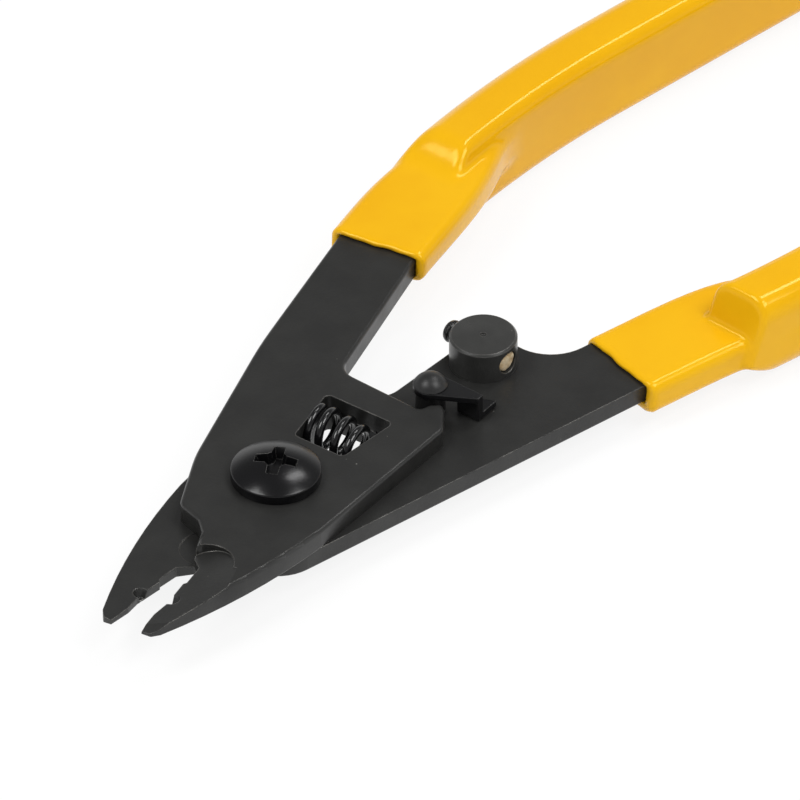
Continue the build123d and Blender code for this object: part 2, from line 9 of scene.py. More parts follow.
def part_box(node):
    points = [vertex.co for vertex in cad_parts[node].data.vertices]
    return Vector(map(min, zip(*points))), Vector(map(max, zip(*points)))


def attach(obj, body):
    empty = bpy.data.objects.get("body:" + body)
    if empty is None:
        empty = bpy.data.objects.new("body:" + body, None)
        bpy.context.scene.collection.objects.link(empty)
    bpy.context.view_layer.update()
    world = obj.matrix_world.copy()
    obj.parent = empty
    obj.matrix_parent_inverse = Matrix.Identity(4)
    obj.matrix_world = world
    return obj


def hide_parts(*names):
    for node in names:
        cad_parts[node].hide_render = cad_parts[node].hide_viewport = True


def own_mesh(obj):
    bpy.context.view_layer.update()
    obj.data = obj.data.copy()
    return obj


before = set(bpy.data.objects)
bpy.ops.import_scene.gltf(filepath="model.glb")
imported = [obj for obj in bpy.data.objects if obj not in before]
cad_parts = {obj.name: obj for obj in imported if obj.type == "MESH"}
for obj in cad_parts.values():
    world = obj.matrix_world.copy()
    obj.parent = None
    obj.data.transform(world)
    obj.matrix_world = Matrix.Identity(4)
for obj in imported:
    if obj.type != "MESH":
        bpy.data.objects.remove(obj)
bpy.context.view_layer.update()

bl_info = {
    "name": "Fibre stripper",
    "version": (1, 0, 0),
    "blender": (4, 5, 0),
    "location": "View3D > Sidebar > Stripper",
    "description": "Dresses a fibre stripper: blackened plates, dipped grips, pivot screw, spring and lock",
    "category": "Object",
}

MM = 0.001

# Stack of the pivot, millimetres above the resting plane
PLATE = 2.7
RUNNING_GAP = 0.05
WASHER_THICK = 0.75
LOWER_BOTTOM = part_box("pivot_washer")[1][2] / MM
LOWER_TOP = LOWER_BOTTOM + PLATE
UPPER_BOTTOM = LOWER_TOP + RUNNING_GAP
HEAD_SEAT = UPPER_BOTTOM + PLATE + RUNNING_GAP
MIDDLE = (LOWER_TOP + UPPER_BOTTOM) / 2
HALF_OPEN = 6.2

# Grips: the coat of vinyl over the flat tang and over the deep folded part
COAT = 0.8
TANG_WIDTH = 10.8
DEEP_WIDTH = 8.2
DEEP_HEIGHT = 2 * MIDDLE
END_ROUND = 1.2
BEND_RADIUS = 151.0
SLEEVE_START = -8           # behind the lip, so that the plan is cut square at it
TAPER_END = 4.5             # along the deep part, where the sleeve's tapers run out
TAPER_INSET = 0.1           # how far inside the deep part's sides they end
SLEEVE_ROUND = 1.5
SLOPE_START = 2             # along the tang, where the sleeve's underside starts to rise
SLOPE_CURVE = 1.3
CROWN_DROP = 0.12           # fall of the deep part's top and bottom from middle to edge
TURN_START = 6              # along the tang, where the sections start to turn
LIFT_RUN = 8                # length over which the sections' middle moves to the deep part's
LIP = 0.45                  # length of the rolled lip
STEEL_GAP = 0.02
LIP_ROLL = ((0, 2.0), (0, 0.3), (0.12, 0.05), (0.35, -0.08), (0.62, -0.08), (0.86, 0.04))
SECTION_RAYS = 240
RAY_REACH = 12.5
RAY_HALVINGS = 22


# Lines that the handles follow

class Handle:
    """Lines that one handle's steel and its dipped grip follow, millimetres and degrees

    The tang starts at start and runs at angle. The deep part starts lead along it and shift beside
    it, runs at deep_angle, turns by bend and ends in a straight tail. tapers, wing and spread shape
    the flat sleeve's plan; sag and slope shape its underside.
    """

    def __init__(self, turn, mirror, base, start, angle, tapers, lead, shift, deep_angle, bend, tail, wing,
                 spread, sag, slope):
        self.turn, self.mirror, self.base = turn, mirror, base
        self.start, self.angle, self.tapers = start, radians(angle), tapers
        self.lead, self.shift, self.wing = lead, shift, wing
        self.deep = self.tang(lead, shift)
        self.deep_angle, self.bend = radians(deep_angle), radians(bend)
        self.length = lead + BEND_RADIUS * self.bend + tail + COAT
        self.spread, self.sag, self.slope = spread, sag, slope

    def tang(self, along, across):
        c, s = cos(self.angle), sin(self.angle)
        return (self.start[0] + along * c - across * s, self.start[1] + along * s + across * c)

    def channel(self, along, across):
        c, s = cos(self.deep_angle), sin(self.deep_angle)
        return (self.deep[0] + along * c - across * s, self.deep[1] + along * s + across * c)

    def sleeve_plan(self):
        """Plan of the flat sleeve, with its two tapers drawn as soft bends"""
        deep = DEEP_WIDTH / 2 - TAPER_INSET
        out, into = (TANG_WIDTH / 2 + COAT + extra for extra in self.spread)
        outer, inner = self.tapers
        bends = [np.array([self.tang(0, out), self.tang(outer, out), self.channel(TAPER_END, deep)]),
                 np.array([self.channel(TAPER_END + self.wing, -deep), self.tang(inner, -into),
                           self.tang(0, -into)])]
        soft = [corner_cut(bend, 3) for bend in bends]
        return np.vstack([[self.tang(SLEEVE_START, out)], *soft, [self.tang(SLEEVE_START, -into)]])

    def deep_coordinates(self, x, y):
        """Distance along and across the deep part's bent centre line"""
        c, s = cos(self.deep_angle), sin(self.deep_angle)
        before = (x - self.deep[0]) * c + (y - self.deep[1]) * s
        beside = -(x - self.deep[0]) * s + (y - self.deep[1]) * c
        ox, oy = self.deep[0] + BEND_RADIUS * s, self.deep[1] - BEND_RADIUS * c
        swept = self.deep_angle + pi / 2 - np.arctan2(y - oy, x - ox)
        e = self.deep_angle - self.bend
        ex, ey = ox - BEND_RADIUS * sin(e), oy + BEND_RADIUS * cos(e)
        past = (x - ex) * cos(e) + (y - ey) * sin(e)
        aside = -(x - ex) * sin(e) + (y - ey) * cos(e)
        along = np.where(before < 0, before,
                         np.where(past > 0, BEND_RADIUS * self.bend + past, BEND_RADIUS * swept))
        across = np.where(before < 0, beside,
                          np.where(past > 0, aside, np.hypot(x - ox, y - oy) - BEND_RADIUS))
        return along, across

    def station(self, t):
        """Origin and direction of the section at a length from the lip"""
        if t <= self.lead:
            f = min(max((t - TURN_START) / (self.lead - TURN_START), 0), 1)
            f = f * f * (3 - 2 * f)
            return self.tang(t, self.shift * f), self.angle + (self.deep_angle - self.angle) * f
        d = t - self.lead
        run = min(d / BEND_RADIUS, self.bend)
        c, e = self.deep_angle, self.deep_angle - run
        ox, oy = self.deep[0] + BEND_RADIUS * sin(c), self.deep[1] - BEND_RADIUS * cos(c)
        rest = d - run * BEND_RADIUS
        return (ox - BEND_RADIUS * sin(e) + rest * cos(e), oy + BEND_RADIUS * cos(e) + rest * sin(e)), e

    def world(self, x, y, z):
        """A point of the half's own frame in the tool's frame, metres"""
        y = y * self.mirror
        c, s = cos(radians(self.turn)), sin(radians(self.turn))
        return Vector(((x * c - y * s) * MM, (x * s + y * c) * MM, z * MM))


def corner_cut(points, times):
    """An open line with its corners cut again and again, which leaves soft bends"""
    for step in range(times):
        inner = [points[0]]
        for a, b in zip(points[:-1], points[1:]):
            inner += [a * 0.75 + b * 0.25, a * 0.25 + b * 0.75]
        points = np.array(inner[:1] + inner[2:-1] + [points[-1]])
    return points


UPPER = Handle(turn=HALF_OPEN, mirror=1, base=UPPER_BOTTOM, start=(46.0, 11.2), angle=1.5,
               tapers=(11.0, 16.5), lead=19.7, shift=0.9, deep_angle=-7.5, bend=11.4, tail=37.0,
               wing=5.0, spread=(0.4, 0.5), sag=0, slope=0.15)
LOWER = Handle(turn=-HALF_OPEN, mirror=-1, base=LOWER_BOTTOM, start=(47.4, 15.1), angle=10.9,
               tapers=(14.5, 20.5), lead=18.4, shift=4.4, deep_angle=12.0, bend=10.0, tail=41.5,
               wing=7.5, spread=(1.0, 0), sag=0.5, slope=0)


def on_lower(x, y):
    """A point of the lower half, seen from above, in the tool's frame, millimetres"""
    c, s = cos(radians(HALF_OPEN)), sin(radians(HALF_OPEN))
    return x * c + y * s, -x * s + y * c


# What a user may change

class StripperFinish(bpy.types.PropertyGroup):
    """Colours and surface values"""
    vinyl_colour: bpy.props.FloatVectorProperty(
        name="Vinyl colour", description="Base colour of the dipped grips",
        subtype="COLOR", size=3, min=0, max=1, default=(0.80, 0.42, 0.004))
    vinyl_roughness: bpy.props.FloatProperty(
        name="Vinyl roughness", description="How soft the grips' highlights are",
        subtype="FACTOR", min=0, max=1, default=0.15)
    steel_colour: bpy.props.FloatVectorProperty(
        name="Blackened steel colour", description="Base colour of the blackened plates",
        subtype="COLOR", size=3, min=0, max=1, default=(0.018, 0.018, 0.0172))
    steel_roughness: bpy.props.FloatProperty(
        name="Steel roughness", description="How soft the plates' highlights are",
        subtype="FACTOR", min=0, max=1, default=0.34)
    hardware_colour: bpy.props.FloatVectorProperty(
        name="Black hardware colour", description="Base colour of the screw, post and rivet",
        subtype="COLOR", size=3, min=0, max=1, default=(0.004, 0.004, 0.0045))
    # Colour of rubbed edges, which also paints a highlight along them
    worn_and_highlight_colour: bpy.props.FloatVectorProperty(
        name="Worn edge colour", description="Steel that shows where an edge is rubbed",
        subtype="COLOR", size=3, min=0, max=1, default=(0.16, 0.155, 0.145))


class StripperSizes(bpy.types.PropertyGroup):
    """Sizes of small forms that only the dressed model has"""
    lip_wave: bpy.props.FloatProperty(
        name="Lip wave", description="How far the dipped lips wander",
        unit="LENGTH", default=0.0001, min=0, max=0.0003)
    recess_reach: bpy.props.FloatProperty(
        name="Recess reach", description="From the screw's axis to the end of a recess arm",
        unit="LENGTH", default=0.0027, min=0.002, max=0.0032)
    thread_pitch: bpy.props.FloatProperty(
        name="Thread pitch", description="Pitch of the stop screw's thread",
        unit="LENGTH", default=0.0005, min=0.0003, max=0.001)
    spring_wire: bpy.props.FloatProperty(
        name="Spring wire", description="Diameter of the opening spring's wire",
        unit="LENGTH", default=0.0011, min=0.0006, max=0.0014)


class StripperStage(bpy.types.PropertyGroup):
    """Sizes of the stage"""
    camera_distance: bpy.props.FloatProperty(
        name="Camera distance", description="From the camera to the middle of the frame",
        unit="LENGTH", default=3.0, min=0.5)
    frame_width: bpy.props.FloatProperty(
        name="Framed width", description="Width of what the camera sees at the plates",
        unit="LENGTH", default=0.1, min=0.01)
    lamp_distance: bpy.props.FloatProperty(
        name="Lamp distance", description="From the soft boxes to the tool",
        unit="LENGTH", default=1.0, min=0.3)


# Node helpers

class Tree:
    """Short calls for building a node tree"""

    def __init__(self, tree):
        self.tree = tree

    def node(self, kind, **values):
        made = self.tree.nodes.new(kind)
        for key, value in values.items():
            if hasattr(made, key):
                setattr(made, key, value)
            else:
                made.inputs[key.replace("_", " ")].default_value = value
        return made

    def link(self, a, b):
        self.tree.links.new(a, b)

    def math(self, operation, a, b=None):
        made = self.node("ShaderNodeMath", operation=operation)
        for socket, value in zip(made.inputs, (a, b)):
            if value is None:
                continue
            if isinstance(value, (int, float)):
                socket.default_value = value
            else:
                self.link(value, socket)
        return made.outputs[0]

    def ramp(self, value, low, high, out_low=0.0, out_high=1.0):
        made = self.node("ShaderNodeMapRange", interpolation_type="SMOOTHSTEP")
        self.link(value, made.inputs["Value"])
        for label, number in (("From Min", low), ("From Max", high),
                              ("To Min", out_low), ("To Max", out_high)):
            made.inputs[label].default_value = number
        return made.outputs["Result"]

    def blend(self, factor, a, b):
        made = self.node("ShaderNodeMix", data_type="RGBA")
        self.link(factor, made.inputs["Factor"])
        for socket, value in ((made.inputs[6], a), (made.inputs[7], b)):
            if isinstance(value, tuple):
                socket.default_value = value
            else:
                self.link(value, socket)
        return made.outputs[2]

    def mixed(self, a, b, factor):
        """Mix of two shaders; the factor is a number or a socket"""
        made = self.node("ShaderNodeMixShader")
        if isinstance(factor, float):
            made.inputs[0].default_value = factor
        else:
            self.link(factor, made.inputs[0])
        self.link(a.outputs[0], made.inputs[1])
        self.link(b.outputs[0], made.inputs[2])
        return made


def new_group(name, inputs, outputs):
    group = bpy.data.node_groups.new(name, "ShaderNodeTree")
    for label, value in inputs:
        group.interface.new_socket(label, in_out="INPUT", socket_type="NodeSocketFloat").default_value = value
    for label, kind in outputs:
        group.interface.new_socket(label, in_out="OUTPUT", socket_type=kind)
    tree = Tree(group)
    return group, tree, tree.node("NodeGroupInput"), tree.node("NodeGroupOutput")


def noise_at(tree, scale, detail, roughness=0.5):
    place = tree.node("ShaderNodeTexCoord")
    made = tree.node("ShaderNodeTexNoise", Detail=detail, Roughness=roughness)
    tree.link(place.outputs["Object"], made.inputs["Vector"])
    if isinstance(scale, (int, float)):
        made.inputs["Scale"].default_value = scale
    else:
        tree.link(scale, made.inputs["Scale"])
    return made.outputs["Fac"]


def grain_group():
    """Fine grain for bumps and a slow mottle for colour and gloss"""
    group, tree, given, put = new_group(
        "fine_grain", [("Grain scale", 2600.0), ("Mottle scale", 160.0)],
        [("Height", "NodeSocketFloat"), ("Mottle", "NodeSocketFloat")])
    tree.link(noise_at(tree, given.outputs["Grain scale"], 3.0, 0.6), put.inputs["Height"])
    slow = noise_at(tree, given.outputs["Mottle scale"], 4.0, 0.55)
    tree.link(tree.ramp(slow, 0.32, 0.68), put.inputs["Mottle"])
    return group


def specks_group():
    """Scattered small specks of dust and scuff: a mask"""
    group, tree, given, put = new_group(
        "dust_specks", [("Scale", 900.0), ("Share", 0.12)], [("Mask", "NodeSocketFloat")])
    place = tree.node("ShaderNodeTexCoord")
    cells = tree.node("ShaderNodeTexVoronoi", feature="F1")
    tree.link(place.outputs["Object"], cells.inputs["Vector"])
    tree.link(given.outputs["Scale"], cells.inputs["Scale"])
    parts = tree.node("ShaderNodeSeparateColor")
    tree.link(cells.outputs["Color"], parts.inputs[0])
    chosen = tree.math("LESS_THAN", parts.outputs[0], given.outputs["Share"])
    size = tree.math("MULTIPLY_ADD", parts.outputs[1], 0.09)
    size.node.inputs[2].default_value = 0.03
    near = tree.math("SUBTRACT", size, cells.outputs["Distance"])
    dot = tree.ramp(near, 0.0, 0.03)
    tree.link(tree.math("MULTIPLY", dot, chosen), put.inputs["Mask"])
    return group


def rub_and_highlight_group():
    """Edges that handling has rubbed, made paler to paint a highlight along them as well: a mask broken up by
    noise, and a normal that rounds them
    """
    group, tree, given, put = new_group(
        "edge_rub_and_highlight", [("Radius", 0.0002), ("Wear", 1.0)],
        [("Mask", "NodeSocketFloat"), ("Normal", "NodeSocketVector")])
    soft = tree.node("ShaderNodeBevel", samples=6)
    tree.link(given.outputs["Radius"], soft.inputs["Radius"])
    true = tree.node("ShaderNodeNewGeometry")
    dot = tree.node("ShaderNodeVectorMath", operation="DOT_PRODUCT")
    tree.link(soft.outputs["Normal"], dot.inputs[0])
    tree.link(true.outputs["Normal"], dot.inputs[1])
    edge = tree.ramp(dot.outputs["Value"], 0.995, 0.9)
    patchy = tree.ramp(noise_at(tree, 420.0, 3.0), 0.3, 0.6)
    worn_and_highlit = tree.math("MULTIPLY", tree.math("MULTIPLY", edge, patchy), given.outputs["Wear"])
    tree.link(worn_and_highlit, put.inputs["Mask"])
    tree.link(soft.outputs["Normal"], put.inputs["Normal"])
    return group


def shared(name, maker):
    return bpy.data.node_groups.get(name) or maker()


def use_group(tree, group, **values):
    made = tree.node("ShaderNodeGroup")
    made.node_tree = group
    for label, value in values.items():
        made.inputs[label.replace("_", " ")].default_value = value
    return made


def new_material(name):
    material = bpy.data.materials.new(name)
    material.use_nodes = True
    return material, Tree(material.node_tree), material.node_tree.nodes["Principled BSDF"]


def add_bump(tree, shader, height, strength, distance, normal=None):
    bump = tree.node("ShaderNodeBump", Strength=strength, Distance=distance)
    tree.link(height, bump.inputs["Height"])
    if normal:
        tree.link(normal, bump.inputs["Normal"])
    tree.link(bump.outputs[0], shader.inputs["Normal"])


# Materials

def dark_metal(finish, name):
    """Blackened metal: mottled, finely grained, rubbed paler on its edges with a painted highlight there,
    with a little dust
    """
    steel, hardware = tuple(finish.steel_colour), tuple(finish.hardware_colour)
    # Colour, roughness, specular level, rub with its painted edge highlight, grain, share of specks and
    # radius of the soft edges
    colour, roughness, specular, rub_and_highlight, grain, specks, radius = {
        "blackened_steel": (steel, finish.steel_roughness, 0.38, 0.8, 0.5, 0.05, 0.00022),
        "black_hardware": (hardware, 0.22, 0.32, 0.9, 0.25, 0.03, 0.00012),
        "turned_steel": (tuple(2.0 * c for c in steel), 0.3, 0.4, 1.0, 0.35, 0.06, 0.0002),
        "lever_steel": (hardware, 0.32, 0.4, 1.0, 0.4, 0.03, 0.00012),
        "spring_steel": (hardware, 0.16, 0.6, 0.0, 0.15, 0.0, 0.0001),
        "set_screw_steel": (hardware, 0.3, 0.45, 0.8, 0.3, 0.02, 0.00006),
    }[name]
    material, tree, shader = new_material(name)
    surface = use_group(tree, shared("fine_grain", grain_group))
    edges = use_group(tree, shared("edge_rub_and_highlight", rub_and_highlight_group), Radius=radius, Wear=rub_and_highlight)
    dust = use_group(tree, shared("dust_specks", specks_group), Share=specks)
    dark = tuple(c * 0.8 for c in colour) + (1,)
    light = tuple(c * 1.25 for c in colour) + (1,)
    plain = tree.blend(surface.outputs["Mottle"], dark, light)
    # Pale edges: real rubbing, and also a painted highlight along the rounded edges
    rubbed_and_highlit = tree.blend(edges.outputs["Mask"], plain, (*finish.worn_and_highlight_colour, 1))
    dusted = tree.blend(tree.math("MULTIPLY", dust.outputs["Mask"], 0.6), rubbed_and_highlit, (0.30, 0.29, 0.27, 1))
    tree.link(dusted, shader.inputs["Base Color"])
    gloss = tree.ramp(surface.outputs["Mottle"], 0.0, 1.0, roughness * 1.12, roughness * 0.88)
    tree.link(gloss, shader.inputs["Roughness"])
    tree.link(tree.math("MULTIPLY", edges.outputs["Mask"], 0.7), shader.inputs["Metallic"])
    add_bump(tree, shader, surface.outputs["Height"], grain, 0.00003, edges.outputs["Normal"])
    shader.inputs["Specular IOR Level"].default_value = specular
    return material


def vinyl(finish):
    """Dipped vinyl: a wet-looking skin with slow colour drift, orange peel and faint handling marks"""
    material, tree, shader = new_material("dipped_vinyl")
    surface = use_group(tree, shared("fine_grain", grain_group), Grain_scale=900.0, Mottle_scale=55.0)
    dust = use_group(tree, shared("dust_specks", specks_group), Scale=520.0, Share=0.03)
    r, g, b = finish.vinyl_colour
    drift = tree.blend(surface.outputs["Mottle"], (r * 0.95, g * 0.93, b, 1), (r, g * 1.03, b * 1.2, 1))
    marked = tree.blend(tree.math("MULTIPLY", dust.outputs["Mask"], 0.35), drift, (0.55, 0.27, 0.02, 1))
    tree.link(marked, shader.inputs["Base Color"])
    rough = finish.vinyl_roughness
    tree.link(tree.ramp(surface.outputs["Mottle"], 0.0, 1.0, rough * 0.85, rough * 1.2),
              shader.inputs["Roughness"])
    add_bump(tree, shader, surface.outputs["Height"], 0.12, 0.00005)
    shader.inputs["Specular IOR Level"].default_value = 0.5
    shader.inputs["Specular Tint"].default_value = (1.0, 0.8, 0.28, 1)
    return material


def sealing_compound():
    """Dried pale compound, lumpy and stained"""
    material, tree, shader = new_material("sealing_compound")
    surface = use_group(tree, shared("fine_grain", grain_group), Grain_scale=1800.0, Mottle_scale=900.0)
    tree.link(tree.blend(surface.outputs["Mottle"], (0.55, 0.40, 0.22, 1), (0.78, 0.66, 0.46, 1)),
              shader.inputs["Base Color"])
    tree.link(tree.ramp(surface.outputs["Mottle"], 0.0, 1.0, 0.65, 0.45), shader.inputs["Roughness"])
    add_bump(tree, shader, surface.outputs["Height"], 0.8, 0.0001)
    return material


def wear(obj, material):
    obj.data.materials.clear()
    obj.data.materials.append(material)


# Mesh helpers

def make_object(name, verts, faces, material, sharp=None):
    """A smooth mesh object; edges above the sharp angle, degrees, stay crisp"""
    mesh = bpy.data.meshes.new(name)
    mesh.from_pydata([tuple(v) for v in verts], [], faces)
    mesh.validate()
    made = bmesh.new()
    made.from_mesh(mesh)
    bmesh.ops.recalc_face_normals(made, faces=made.faces)
    made.to_mesh(mesh)
    made.free()
    for polygon in mesh.polygons:
        polygon.use_smooth = True
    if sharp:
        mesh.set_sharp_from_angle(angle=radians(sharp))
    obj = bpy.data.objects.new(name, mesh)
    bpy.context.scene.collection.objects.link(obj)
    wear(obj, material)
    return obj


def stand_for(obj, node, body):
    """Let a piece take the place of a node of the frame"""
    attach(obj, body)
    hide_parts(node)


def circle(count):
    """Directions round a circle as (cos, sin) pairs"""
    return [(cos(2 * pi * j / count), sin(2 * pi * j / count)) for j in range(count)]


def level_ring(radius, height, count):
    """Ring of points about the pivot's axis, from millimetres"""
    return [(radius * c * MM, radius * s * MM, height * MM) for c, s in circle(count)]


def cap_height(radius, rim, dome):
    """Height of a spherical cap above its rim at a radius"""
    sphere = (rim ** 2 + dome ** 2) / (2 * dome)
    return sqrt(sphere ** 2 - radius ** 2) - (sphere - dome)


def ring_faces(rings, count):
    """Quads between rings of points that follow each other"""
    faces = []
    for i in range(rings - 1):
        for j in range(count):
            k = (j + 1) % count
            a, b = i * count, (i + 1) * count
            faces.append((a + j, a + k, b + k, b + j))
    return faces


def capped(verts, rings, count):
    """Points and faces of rings whose two ends are closed"""
    faces = ring_faces(rings, count)
    faces.append(tuple(range(count)))
    faces.append(tuple(reversed(range(len(verts) - count, len(verts)))))
    return verts, faces


def looped(verts, rings, count):
    """Points and faces of rings whose last one joins the first, as round a bore"""
    last = (rings - 1) * count
    joins = [(last + j, last + (j + 1) % count, (j + 1) % count, j) for j in range(count)]
    return verts, ring_faces(rings, count) + joins


def turned_form(profile, centre, count=128):
    """Points and faces of a form turned on an upright axis from (radius, height) pairs, millimetres"""
    verts = [((centre[0] + radius * c) * MM, (centre[1] + radius * s) * MM, height * MM)
             for radius, height in profile for c, s in circle(count)]
    return capped(verts, len(profile), count)


def soft_corner(a, corner, b, radius, steps=6):
    """Points that round one corner of a profile"""
    corner = np.array(corner, float)
    to_a = np.array(a, float) - corner
    to_b = np.array(b, float) - corner
    start = corner + to_a / np.linalg.norm(to_a) * radius
    end = corner + to_b / np.linalg.norm(to_b) * radius
    f = np.linspace(0, 1, steps)[:, None]
    return [tuple(p) for p in start * (1 - f) ** 2 + corner * 2 * f * (1 - f) + end * f ** 2]


def soft_profile(points, radius):
    """A profile with all its inner corners rounded; radius is one value or one for each corner"""
    radii = radius if isinstance(radius, (list, tuple)) else [radius] * (len(points) - 2)
    line = [points[0]]
    for a, corner, b, r in zip(points[:-2], points[1:-1], points[2:], radii):
        line += soft_corner(a, corner, b, r) if r else [corner]
    return line + [points[-1]]


# Notch of the upper blade

NOTCH_PLACE = (-25.6, 0.3)
NOTCH_RADIUS = 0.9
BLADE_LAND = 1.1
CUTTER = 4                  # length, depth and height of the cutting forms
CUTTER_LIFT = 1.83          # from the blade's land up to their middle


def open_notch(plate):
    """Modifier that cuts the notch's mouth up through the blade's sloping face"""
    group = bpy.data.node_groups.new("notch_mouth", "GeometryNodeTree")
    group.interface.new_socket("Geometry", in_out="INPUT", socket_type="NodeSocketGeometry")
    group.interface.new_socket("Geometry", in_out="OUTPUT", socket_type="NodeSocketGeometry")
    tree = Tree(group)
    given, put = tree.node("NodeGroupInput"), tree.node("NodeGroupOutput")
    turn = radians(HALF_OPEN)
    joined = tree.node("GeometryNodeMergeByDistance", Distance=0.000001)
    tree.link(given.outputs[0], joined.inputs[0])
    cut = tree.node("GeometryNodeMeshBoolean", operation="DIFFERENCE", solver="EXACT")
    cut.inputs["Self Intersection"].default_value = True
    tree.link(joined.outputs[0], cut.inputs["Mesh 1"])
    round_end = tree.node("GeometryNodeMeshCylinder", Vertices=40,
                          Radius=NOTCH_RADIUS * MM, Depth=CUTTER * MM)
    mouth = tree.node("GeometryNodeMeshCube",
                      Size=(2 * NOTCH_RADIUS * MM, CUTTER * MM, CUTTER * MM))
    inverse = plate.matrix_world.inverted()
    for shape, aside in ((round_end, 0.0), (mouth, CUTTER / 2)):
        x, y = NOTCH_PLACE[0], NOTCH_PLACE[1] + aside
        place = Vector((x * cos(turn) - y * sin(turn), x * sin(turn) + y * cos(turn),
                        UPPER_BOTTOM + BLADE_LAND + CUTTER_LIFT)) * MM
        move = tree.node("GeometryNodeTransform")
        move.inputs["Translation"].default_value = inverse @ place
        move.inputs["Rotation"].default_value = (0, 0, turn)
        tree.link(shape.outputs[0], move.inputs[0])
        tree.link(move.outputs[0], cut.inputs["Mesh 2"])
    tree.link(cut.outputs[0], put.inputs[0])
    plate.modifiers.new("notch mouth", "NODES").node_group = group


# Dipped skin of the grips

def polygon_distance(x, y, corners):
    """Signed distance to a polygon, negative inside"""
    best = np.full(x.shape, 1e9)
    inside = np.zeros(x.shape, bool)
    for (ax, ay), (bx, by) in zip(corners, np.roll(corners, -1, 0)):
        ex, ey = bx - ax, by - ay
        f = np.clip(((x - ax) * ex + (y - ay) * ey) / (ex * ex + ey * ey), 0, 1)
        best = np.minimum(best, np.hypot(x - ax - f * ex, y - ay - f * ey))
        crossing = (ay > y) != (by > y)
        inside ^= crossing & (x < ax + (y - ay) / np.where(ey == 0, 1e-9, ey) * ex)
    return np.where(inside, -best, best)


def rounded(a, b, radius):
    """Distance to the corner of two faces at distances a and b, rounded"""
    qa, qb = a + radius, b + radius
    return np.hypot(np.maximum(qa, 0), np.maximum(qb, 0)) + np.minimum(np.maximum(qa, qb), 0) - radius


def melt(a, b, k):
    """Union of two forms with a soft hollow of size k between them"""
    f = np.clip(0.5 + 0.5 * (b - a) / k, 0, 1)
    return b * (1 - f) + a * f - k * f * (1 - f)


class DippedForm:
    """Outer form of one grip: how round its corners are and how its nose swells

    A nose is where it starts, how long it runs and how far it turns across the deep part.
    A facet is a plane's direction along, across and up, and its distance.
    """

    def __init__(self, handle, round_inner, round_outer, nose_top, nose_under, brow, hollow, facet=None):
        self.handle = handle
        self.round_inner, self.round_outer = round_inner, round_outer
        self.noses = ((1, nose_top), (-1, nose_under))
        self.brow, self.hollow, self.facet = brow, hollow, facet
        self.plan = handle.sleeve_plan()

    def distance(self, x, y, z):
        handle = self.handle
        low, high = handle.base - COAT, handle.base + PLATE + COAT
        plan = polygon_distance(x, y, self.plan)
        passed = (x - handle.start[0]) * cos(handle.angle) + (y - handle.start[1]) * sin(handle.angle)
        share = np.clip((passed - SLOPE_START) / (handle.lead - SLOPE_START), 0, 1)
        floor = (low - handle.sag) * (1 - handle.slope * share ** SLOPE_CURVE)
        sleeve = rounded(plan, np.abs(z - (floor + high) / 2) - (high - floor) / 2, SLEEVE_ROUND)
        along, across = handle.deep_coordinates(x, y)
        side = np.abs(across) - DEEP_WIDTH / 2
        crown = CROWN_DROP * np.clip(np.abs(across) / (DEEP_WIDTH / 2), 0, 1) ** 2
        level = np.abs(z - DEEP_HEIGHT / 2) - DEEP_HEIGHT / 2 + crown
        corner = np.where(across > 0, self.round_outer, self.round_inner)
        deep = rounded(side, level, corner)
        # The nose slopes from the sleeve's faces out to the full depth
        for sign, (at, reach, turn) in self.noses:
            full, face = (DEEP_HEIGHT, high) if sign > 0 else (0.0, low)
            rise = abs(full - face)
            size = sqrt(rise * rise * (1 + turn * turn) + reach * reach)
            run = along - at + turn * across
            deep = -melt(-deep, -(sign * (z - full) * reach - run * rise) / size, self.brow)
        if self.facet:
            (a, b, c), level = self.facet
            deep = -melt(-deep, -(a * along + b * across + c * z - level), self.brow)
        deep = rounded(deep, along - (handle.length - handle.lead), END_ROUND)
        return melt(sleeve, deep, self.hollow)

    def section(self, t, count):
        """Outline in the section at a length from the lip: (across, height) pairs"""
        handle = self.handle
        (ox, oy), heading = handle.station(t)
        f = min(max((t - handle.lead) / LIFT_RUN, 0), 1)
        oz = (handle.base + PLATE / 2) * (1 - f) + DEEP_HEIGHT / 2 * f
        theta = np.linspace(0, 2 * pi, SECTION_RAYS, endpoint=False)
        da, dz = np.cos(theta), np.sin(theta)
        low, high = np.zeros(SECTION_RAYS), np.full(SECTION_RAYS, RAY_REACH)
        for step in range(RAY_HALVINGS):
            mid = (low + high) / 2
            d = self.distance(ox - mid * da * sin(heading), oy + mid * da * cos(heading), oz + mid * dz)
            low, high = np.where(d < 0, mid, low), np.where(d < 0, high, mid)
        ring = np.stack([low * da, oz + low * dz], 1)
        loop = np.vstack([ring, ring[:1]])
        length = np.concatenate([[0], np.cumsum(np.linalg.norm(np.diff(loop, axis=0), axis=1))])
        at = np.linspace(0, length[-1], count, endpoint=False)
        return np.stack([np.interp(at, length, loop[:, k]) for k in range(2)], 1)


